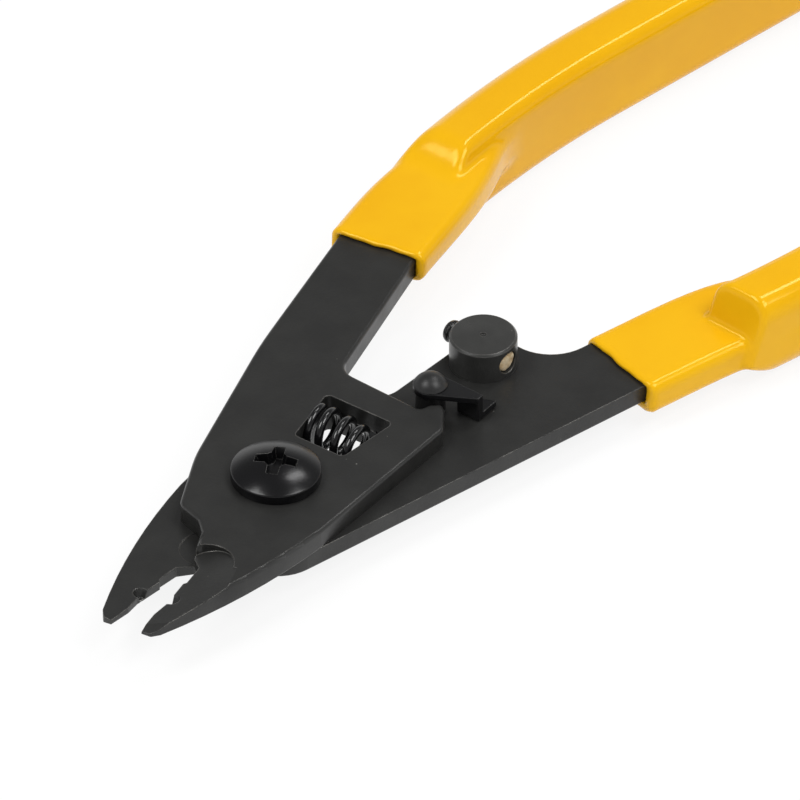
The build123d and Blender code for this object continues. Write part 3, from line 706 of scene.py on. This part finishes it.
def grip_mesh(name, form, lip_wave, material, count=112):
    """Skin of a dipped grip: rolled lip, sleeve, nose and deep part, closed at its end"""
    handle = form.handle
    stations = np.concatenate([
        np.linspace(LIP, 12, 20), np.linspace(12.4, handle.lead + 10, 64),
        np.linspace(handle.lead + 11, handle.length - 3, 54),
        handle.length - 2.6 * np.cos(np.linspace(0, pi / 2, 14))[:-1],
    ])
    rings = []

    def place(ring, origin, heading, push):
        ox, oy = origin
        return [handle.world(ox - a * sin(heading) + p * cos(heading),
                             oy + a * cos(heading) + p * sin(heading), z) for (a, z), p in zip(ring, push)]

    # Rolled lip, from the inner wall on the steel round to the outside
    outline = form.section(LIP, count)
    middle = np.array([0.0, handle.base + PLATE / 2])
    half = np.array([TANG_WIDTH / 2 + STEEL_GAP, PLATE / 2 + STEEL_GAP])
    wall = outline - middle
    wall = middle + wall / np.max(np.abs(wall) / half, axis=1)[:, None]
    angles = np.linspace(0, 2 * pi, count, endpoint=False)
    wave = lip_wave / MM * (np.sin(3 * angles + 1.0) + 0.6 * np.sin(7 * angles + 0.4))
    origin, heading = handle.station(0)
    for share, push in LIP_ROLL:
        lip = wall * (1 - share) + outline * share
        rings.append(place(lip, origin, heading, push + (wave if push < 1 else 0 * wave)))
    for t in stations:
        origin, heading = handle.station(t)
        rings.append(place(form.section(t, count), origin, heading, np.zeros(count)))
    end = handle.station(handle.length - 0.001)[0]
    verts = [v for ring in rings for v in ring] + [handle.world(end[0], end[1], DEEP_HEIGHT / 2)]
    faces = ring_faces(len(rings), count)
    last = (len(rings) - 1) * count
    faces += [(last + j, last + (j + 1) % count, len(verts) - 1) for j in range(count)]
    return make_object(name, verts, faces, material)


# Pivot

HEAD_RADIUS = 5.7
HEAD_RIM = 1.3
HEAD_DOME = 1.6
RECESS_DEPTH = 1.7
RECESS_TURN = 23.4
RECESS_HALF = 0.92          # half the width of a recess arm at the axis
RECESS_NARROWING = 0.08     # lost from that on each millimetre outwards
END_SLOPE, FLANK_SLOPE, CONE_SLOPE = 3.0, 5.0, 4.0
CONE_RADIUS = 1.5
RECESS_EDGE = 0.12          # depth over which the recess's edge is soft
HEAD_EDGE = 0.25            # width of the soft edge round the head
SHANK_RADIUS = 3.0
WASHER_BORE = 3.06
WASHER_RADIUS = 5.5
WASHER_SIDES = 128


def recess_depth(x, y, reach):
    """How deep the cross recess is below the dome at a point, millimetres"""
    c, s = cos(radians(RECESS_TURN)), sin(radians(RECESS_TURN))
    a, b = x * c + y * s, -x * s + y * c
    deepest = 0.0
    for p, q in ((a, b), (b, a)):
        half = RECESS_HALF - RECESS_NARROWING * abs(p)
        end = (reach - abs(p)) * END_SLOPE
        flank = (half - abs(q)) * FLANK_SLOPE
        deepest = max(deepest, min(end, flank, RECESS_DEPTH))
    cone = (CONE_RADIUS - sqrt(x * x + y * y)) * CONE_SLOPE
    return max(deepest, min(cone, RECESS_DEPTH))


def screw_head(reach):
    """Domed head with its cross recess, as a fine polar grid, then the rim and the shank"""
    count = 288
    base = HEAD_SEAT + HEAD_RIM
    flat = HEAD_RADIUS - HEAD_EDGE
    radii = list(np.linspace(0.04, 3.1, 86)) + list(np.linspace(3.2, flat, 22))
    verts = []
    for radius in radii:
        dome = base + cap_height(radius, HEAD_RADIUS, HEAD_DOME)
        for c, s in circle(count):
            x, y = radius * c, radius * s
            depth = recess_depth(x, y, reach)
            edge = min(depth, RECESS_EDGE)
            soft = 0.5 * edge * edge / RECESS_EDGE + max(depth - RECESS_EDGE, 0) if depth > 0 else 0
            verts.append((x * MM, y * MM, (dome - soft) * MM))
    side = soft_profile([(flat, base + cap_height(flat, HEAD_RADIUS, HEAD_DOME)), (HEAD_RADIUS, base),
                         (HEAD_RADIUS, HEAD_SEAT), (SHANK_RADIUS, HEAD_SEAT), (SHANK_RADIUS, 0.35),
                         (SHANK_RADIUS - 0.3, 0.0)], [0.16, 0.12, 0.0, 0.0])[1:]
    for radius, height in side:
        verts += level_ring(radius, height, count)
    return capped(verts, len(radii) + len(side), count)


def lock_nut():
    """Thin hexagon nut with turned chamfers and a countersunk thread hole"""
    across_flats, height, count = 8.0, LOWER_BOTTOM - WASHER_THICK, 180
    corner = across_flats / 2 / cos(pi / 6)
    outline = ((0.0, corner - 0.45), (0.22, corner - 0.05), (0.3, corner), (height - 0.3, corner),
               (height - 0.22, corner - 0.05), (height, corner - 0.45))
    bore = ((3.35, height), (3.05, height - 0.3), (3.05, 0.3), (3.35, 0.0))
    verts = []
    for level, limit in outline:
        for j in range(count):
            a = 2 * pi * j / count
            flat = across_flats / 2 / cos((a + pi / 6) % (pi / 3) - pi / 6)
            radius = min(flat, limit)
            verts.append((radius * cos(a) * MM, radius * sin(a) * MM, level * MM))
    for radius, level in bore:
        verts += level_ring(radius, level, count)
    return looped(verts, len(outline) + len(bore), count)


def washer_form():
    """Flat washer with softly stamped edges"""
    top, under = LOWER_BOTTOM, LOWER_BOTTOM - WASHER_THICK
    profile = soft_profile([(WASHER_BORE, top - 0.7), (WASHER_BORE, top), (WASHER_RADIUS, top),
                            (WASHER_RADIUS, under), (WASHER_BORE, under)], [0.05, 0.15, 0.15])
    verts = turned_form(profile, (0, 0), WASHER_SIDES)[0]
    return looped(verts, len(profile), WASHER_SIDES)


# Spring, stop and lock

SPRING_RADIUS = 2.85
SPRING_TURNS = (0.0, 0.34, 1.0, 2.0, 3.0, 4.0)
SPRING_PLACES = (3.4, 2.8, 1.95, -0.7, -3.1, -4.8)
SPRING_START = 56.5
SPRING_LINE = 13.5          # how far behind the pivot the spring's axis lies at most
SPRING_BLUR = 15            # path points on each side that soften the pitch


def spring_path(steps=420):
    """Centre line of the opening spring: open coils with a closed one at the far window wall"""
    turns = np.linspace(0, SPRING_TURNS[-1], steps)
    y = np.interp(turns, SPRING_TURNS, SPRING_PLACES)
    window = np.ones(2 * SPRING_BLUR + 1) / (2 * SPRING_BLUR + 1)
    padded = np.pad(y, SPRING_BLUR, mode="reflect", reflect_type="odd")
    smooth = np.convolve(padded, window, mode="valid")
    angle = radians(SPRING_START) + 2 * pi * turns
    x = np.minimum(SPRING_LINE, SPRING_LINE - 0.15 + 0.2 * smooth)
    return np.stack([x + SPRING_RADIUS * np.cos(angle), smooth, MIDDLE + SPRING_RADIUS * np.sin(angle)], 1)


def tube(path, radius, sides=20):
    """Round wire along a path with rounded, ground ends, millimetres"""
    tangent = np.gradient(path, axis=0)
    tangent /= np.linalg.norm(tangent, axis=1)[:, None]
    normal = np.cross(tangent[0], (0.0, 1.0, 0.0))
    verts = []
    for i, (point, ahead) in enumerate(zip(path, tangent)):
        normal = normal - ahead * np.dot(normal, ahead)
        normal /= np.linalg.norm(normal)
        side = np.cross(ahead, normal)
        close = min(i, len(path) - 1 - i)
        size = radius * (1 - 0.16 * max(0, 1 - close / 3))
        verts += [(point + size * (c * normal + s * side)) * MM for c, s in circle(sides)]
    return capped(verts, len(path), sides)


POST = (36.67, -2.14)
POST_RADIUS = 4.3
STOP_LEVEL = LOWER_TOP + 2.2
STOP_RADIUS = 1.5
STOP_INSET = 1.7            # from the post's side in to the screw's tail
POINT_LENGTH = 0.7
THREAD_DEPTH = 0.16
RIVET = (25.52, -3.15)
RIVET_RADIUS = 2.2
RIVET_DOME = 1.4
LEVER_THICK = 0.9


def stop_screw_form(pitch):
    """Threaded set screw across the post, with a domed point"""
    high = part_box("stop_screw")[1]
    axis = Vector((sin(radians(HALF_OPEN)), cos(radians(HALF_OPEN)), 0))
    centre = Vector((*on_lower(*POST), STOP_LEVEL)) * MM
    start = STOP_INSET - POST_RADIUS
    reach = (high[1] / MM - centre.y / MM - STOP_RADIUS * sin(radians(HALF_OPEN))) / axis.y
    count, steps = 64, 180
    verts = []
    side = Vector((axis.y, -axis.x, 0))
    for i in range(steps + 1):
        s = start + (reach - start) * i / steps
        left = reach - s
        fall = max(POINT_LENGTH - left, 0) / POINT_LENGTH
        shoulder = sqrt(max(0.0, 1 - fall ** 2)) * 0.75 + 0.72 if fall else STOP_RADIUS
        for j, (across, up) in enumerate(circle(count)):
            wave = abs(((s / (pitch / MM) - j / count) % 1) * 2 - 1)
            depth = THREAD_DEPTH * wave if left > POINT_LENGTH + 0.1 else 0.0
            radius = min(STOP_RADIUS, shoulder) - depth
            rise = Vector((0, 0, radius * up))
            verts.append(centre + (axis * s + side * (radius * across) + rise) * MM)
    return capped(verts, steps + 1, count)


def seal_form():
    """Lumpy plug of compound in the tail of the cross hole"""
    axis = Vector((-sin(radians(HALF_OPEN)), -cos(radians(HALF_OPEN)), 0))
    side = Vector((axis.y, -axis.x, 0))
    centre = Vector((*on_lower(*POST), STOP_LEVEL)) * MM
    verts, count = [], 48
    rings = [(1.42, 2.75), (1.42, 3.75), (1.3, 3.86), (1.05, 3.93), (0.75, 3.97), (0.4, 4.0), (0.1, 4.02)]
    for radius, reach in rings:
        for c, s in circle(count):
            point = Vector((radius * c, radius * s, reach))
            lump = noise.noise(point * 1.7) * 0.14 if reach > 3.5 else 0.0
            verts.append(centre + (axis * (reach + lump) + side * point.x + Vector((0, 0, point.y))) * MM)
    return capped(verts, len(rings), count)


def rivet_form():
    """Domed lock rivet with its shank under the lever's eye and its tail in the plate"""
    lever_level = UPPER_BOTTOM + PLATE + 0.15
    dome_level = lever_level + LEVER_THICK + RUNNING_GAP
    dome = [(radius, dome_level + cap_height(radius, RIVET_RADIUS, RIVET_DOME))
            for radius in np.linspace(0.05, RIVET_RADIUS - 0.08, 22)]
    rest = [(RIVET_RADIUS, dome_level + 0.06), (RIVET_RADIUS, dome_level + 0.02),
            (RIVET_RADIUS - 0.04, dome_level), (1.2, dome_level),
            (1.2, lever_level), (1.84, lever_level), (1.9, lever_level - 0.06), (1.9, LOWER_TOP + 0.06),
            (1.9, LOWER_TOP), (1.5, LOWER_TOP), (1.5, LOWER_BOTTOM + 0.08), (1.42, LOWER_BOTTOM)]
    return turned_form(dome + rest, on_lower(*RIVET), 96)


# Operators

class STRIPPER_OT_plates(bpy.types.Operator):
    """Finish the two stamped plates"""
    bl_idname = "stripper.plates"
    bl_label = "Plates"

    def execute(self, context):
        steel = dark_metal(context.scene.stripper_finish, "blackened_steel")
        for name in ("upper_plate", "lower_plate"):
            wear(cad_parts[name], steel)
        open_notch(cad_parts["upper_plate"])
        return {"FINISHED"}


class STRIPPER_OT_grips(bpy.types.Operator):
    """Build the dipped grips"""
    bl_idname = "stripper.grips"
    bl_label = "Grips"

    def execute(self, context):
        material = vinyl(context.scene.stripper_finish)
        lip_wave = context.scene.stripper_sizes.lip_wave
        upper = DippedForm(UPPER, round_inner=2.0, round_outer=3.0, nose_top=(0.4, 3.2, 0.0),
                           nose_under=(0.0, 9.0, 0.0), brow=1.1, hollow=1.3)
        lower = DippedForm(LOWER, round_inner=2.0, round_outer=3.0, nose_top=(-1.7, 2.0, -0.25),
                           nose_under=(0.4, 4.4, -0.3), brow=0.7, hollow=0.7,
                           facet=((-0.526, 0.749, 0.402), 8.15))
        for node, body, form in (("upper_grip", "upper_half", upper), ("lower_grip", "lower_half", lower)):
            skin = grip_mesh(node + "_skin", form, lip_wave, material)
            stand_for(skin, node, body)
        return {"FINISHED"}


class STRIPPER_OT_pivot(bpy.types.Operator):
    """Build the pivot screw, its washer and its lock nut"""
    bl_idname = "stripper.pivot"
    bl_label = "Pivot"

    def execute(self, context):
        material = dark_metal(context.scene.stripper_finish, "black_hardware")
        head = screw_head(context.scene.stripper_sizes.recess_reach / MM)
        stand_for(make_object("pivot_screw_head", *head, material, 40), "pivot_screw", "lower_half")
        stand_for(make_object("pivot_washer_ring", *washer_form(), material, 50), "pivot_washer",
                  "lower_half")
        stand_for(make_object("pivot_lock_nut", *lock_nut(), material, 25), "pivot_nut", "lower_half")
        return {"FINISHED"}


class STRIPPER_OT_spring(bpy.types.Operator):
    """Build the opening spring"""
    bl_idname = "stripper.spring"
    bl_label = "Spring"

    def execute(self, context):
        wire = context.scene.stripper_sizes.spring_wire / MM / 2
        obj = make_object("opening_spring_coils", *tube(spring_path(), wire),
                          dark_metal(context.scene.stripper_finish, "spring_steel"), 60)
        stand_for(obj, "opening_spring", "lower_half")
        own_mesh(obj)
        return {"FINISHED"}


class STRIPPER_OT_stop(bpy.types.Operator):
    """Finish the stop post and build its set screw and seal"""
    bl_idname = "stripper.stop"
    bl_label = "Stop"

    def execute(self, context):
        finish = context.scene.stripper_finish
        wear(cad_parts["stop_post"], dark_metal(finish, "turned_steel"))
        pitch = context.scene.stripper_sizes.thread_pitch
        steel = dark_metal(finish, "set_screw_steel")
        stand_for(make_object("stop_screw_thread", *stop_screw_form(pitch), steel, 40), "stop_screw",
                  "lower_half")
        stand_for(make_object("screw_seal_plug", *seal_form(), sealing_compound(), 50), "screw_seal",
                  "lower_half")
        return {"FINISHED"}


class STRIPPER_OT_lock(bpy.types.Operator):
    """Soften the lock lever's edges and build its rivet"""
    bl_idname = "stripper.lock"
    bl_label = "Lock"

    def execute(self, context):
        finish = context.scene.stripper_finish
        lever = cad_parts["lock_lever"]
        wear(lever, dark_metal(finish, "lever_steel"))
        skin = lever.modifiers.new("even skin", "REMESH")
        skin.mode = "VOXEL"
        skin.voxel_size = 0.00008
        skin.use_smooth_shade = True
        edges = lever.modifiers.new("worn edges", "SMOOTH")
        edges.factor = 0.5
        edges.iterations = 6
        stand_for(make_object("lock_rivet_head", *rivet_form(), bpy.data.materials["black_hardware"], 40),
                  "lock_rivet", "lower_half")
        return {"FINISHED"}


CAMERA_RIGHT = (0.576, -0.817, 0)
CAMERA_HEIGHT = 39          # degrees above the plates
CAMERA_TARGET = (24.0, -1.95, MIDDLE)
SENSOR = 36


class STRIPPER_OT_stage(bpy.types.Operator):
    """Floor, soft studio light and the camera"""
    bl_idname = "stripper.stage"
    bl_label = "Stage"

    def execute(self, context):
        setup = context.scene.stripper_stage
        scene = context.scene
        across = Vector(CAMERA_RIGHT).normalized()
        away = Vector((-across.y, across.x, 0))
        self.add_floor(scene)
        self.add_world(scene)
        self.add_lamps(scene, setup.lamp_distance, across, away)

        height = radians(CAMERA_HEIGHT)
        sight = away * cos(height) - Vector((0, 0, sin(height)))
        target = Vector(CAMERA_TARGET) * MM
        data = bpy.data.cameras.new("camera")
        data.sensor_width = SENSOR
        data.lens = SENSOR * setup.camera_distance / setup.frame_width
        data.clip_start = 0.1
        data.clip_end = 20
        camera = bpy.data.objects.new("camera", data)
        camera.location = target - sight * setup.camera_distance
        camera.rotation_mode = "QUATERNION"
        camera.rotation_quaternion = sight.to_track_quat("-Z", "Y")
        scene.collection.objects.link(camera)
        scene.camera = camera
        scene.view_settings.view_transform = "Standard"
        return {"FINISHED"}

    def add_floor(self, scene):
        """Pale floor that looks white to the camera and in gloss, and keeps the tool's shadow"""
        mesh = bpy.data.meshes.new("floor")
        half = 3.0
        mesh.from_pydata([(-half, -half, 0), (half, -half, 0), (half, half, 0), (-half, half, 0)], [],
                         [(0, 1, 2, 3)])
        floor = bpy.data.objects.new("floor", mesh)
        scene.collection.objects.link(floor)
        material = bpy.data.materials.new("pale_floor")
        material.use_nodes = True
        tree = Tree(material.node_tree)
        material.node_tree.nodes.clear()
        out = tree.node("ShaderNodeOutputMaterial")
        path = tree.node("ShaderNodeLightPath")
        seen = tree.math("MAXIMUM", tree.math("MAXIMUM", path.outputs["Is Camera Ray"],
                                              path.outputs["Is Glossy Ray"]),
                         path.outputs["Is Transmission Ray"])
        diffuse = tree.node("ShaderNodeBsdfDiffuse", Color=(0.93, 0.93, 0.93, 1))
        white = tree.node("ShaderNodeEmission", Color=(1, 1, 1, 1), Strength=1.0)
        shadowed_white = tree.mixed(diffuse, white, 0.88)
        tree.link(tree.mixed(diffuse, shadowed_white, seen).outputs[0], out.inputs[0])
        floor.data.materials.append(material)

    def add_world(self, scene):
        """Even soft room; the camera sees white, and gloss sees white that darkens overhead"""
        world = bpy.data.worlds.new("soft_room")
        scene.world = world
        world.use_nodes = True
        tree = Tree(world.node_tree)
        world.node_tree.nodes.clear()
        out = tree.node("ShaderNodeOutputWorld")
        path = tree.node("ShaderNodeLightPath")
        place = tree.node("ShaderNodeTexCoord")
        parts = tree.node("ShaderNodeSeparateXYZ")
        tree.link(place.outputs["Generated"], parts.inputs[0])
        room = tree.node("ShaderNodeBackground", Color=(1, 1, 1, 1), Strength=0.45)
        overhead = tree.node("ShaderNodeBackground", Color=(1, 1, 1, 1))
        tree.link(tree.ramp(parts.outputs["Z"], 0.1, 0.5, 1.0, 0.25), overhead.inputs["Strength"])
        backdrop = tree.node("ShaderNodeBackground", Color=(1, 1, 1, 1), Strength=1.0)
        gloss = tree.math("MAXIMUM", path.outputs["Is Glossy Ray"], path.outputs["Is Transmission Ray"])
        lit = tree.mixed(room, overhead, gloss)
        tree.link(tree.mixed(lit, backdrop, path.outputs["Is Camera Ray"]).outputs[0], out.inputs[0])

    def add_lamps(self, scene, distance, across, away):
        """Soft boxes to the left and right in front of the tool, and a slim one behind on the right"""
        centre = Vector((0.02, 0, 0.006))
        for name, right, back, up, wide, tall, power in (
            ("left_box", -0.49, -0.19, 0.85, 0.42, 0.42, 4.3),
            ("right_box", 0.51, -0.21, 0.83, 0.42, 0.42, 4.0),
            ("slim_box", 0.34, 0.38, 0.86, 0.16, 0.36, 1.8),
        ):
            direction = (across * right + away * back + Vector((0, 0, up))).normalized()
            lamp = bpy.data.lights.new(name, "AREA")
            lamp.shape = "RECTANGLE"
            lamp.size, lamp.size_y, lamp.energy = wide, tall, power
            obj = bpy.data.objects.new(name, lamp)
            obj.location = centre + direction * distance
            obj.rotation_mode = "QUATERNION"
            obj.rotation_quaternion = (-direction).to_track_quat("-Z", "Y")
            scene.collection.objects.link(obj)


class STRIPPER_PT_panel(bpy.types.Panel):
    """Lists the pieces of the tool"""
    bl_idname = "STRIPPER_PT_panel"
    bl_label = "Fibre stripper"
    bl_space_type = "VIEW_3D"
    bl_region_type = "UI"
    bl_category = "Stripper"

    def draw(self, context):
        for operator in OPERATORS:
            self.layout.operator(operator.bl_idname)


OPERATORS = (STRIPPER_OT_plates, STRIPPER_OT_grips, STRIPPER_OT_pivot, STRIPPER_OT_spring, STRIPPER_OT_stop,
             STRIPPER_OT_lock, STRIPPER_OT_stage)
CLASSES = (StripperFinish, StripperSizes, StripperStage, *OPERATORS, STRIPPER_PT_panel)


def register():
    for cls in CLASSES:
        bpy.utils.register_class(cls)
    bpy.types.Scene.stripper_finish = bpy.props.PointerProperty(type=StripperFinish)
    bpy.types.Scene.stripper_sizes = bpy.props.PointerProperty(type=StripperSizes)
    bpy.types.Scene.stripper_stage = bpy.props.PointerProperty(type=StripperStage)


def unregister():
    del bpy.types.Scene.stripper_finish
    del bpy.types.Scene.stripper_sizes
    del bpy.types.Scene.stripper_stage
    for cls in reversed(CLASSES):
        bpy.utils.unregister_class(cls)


def main():
    register()
    bpy.ops.stripper.plates()
    bpy.ops.stripper.grips()
    bpy.ops.stripper.pivot()
    bpy.ops.stripper.spring()
    bpy.ops.stripper.stop()
    bpy.ops.stripper.lock()
    bpy.ops.stripper.stage()


if __name__ == "__main__":
    main()
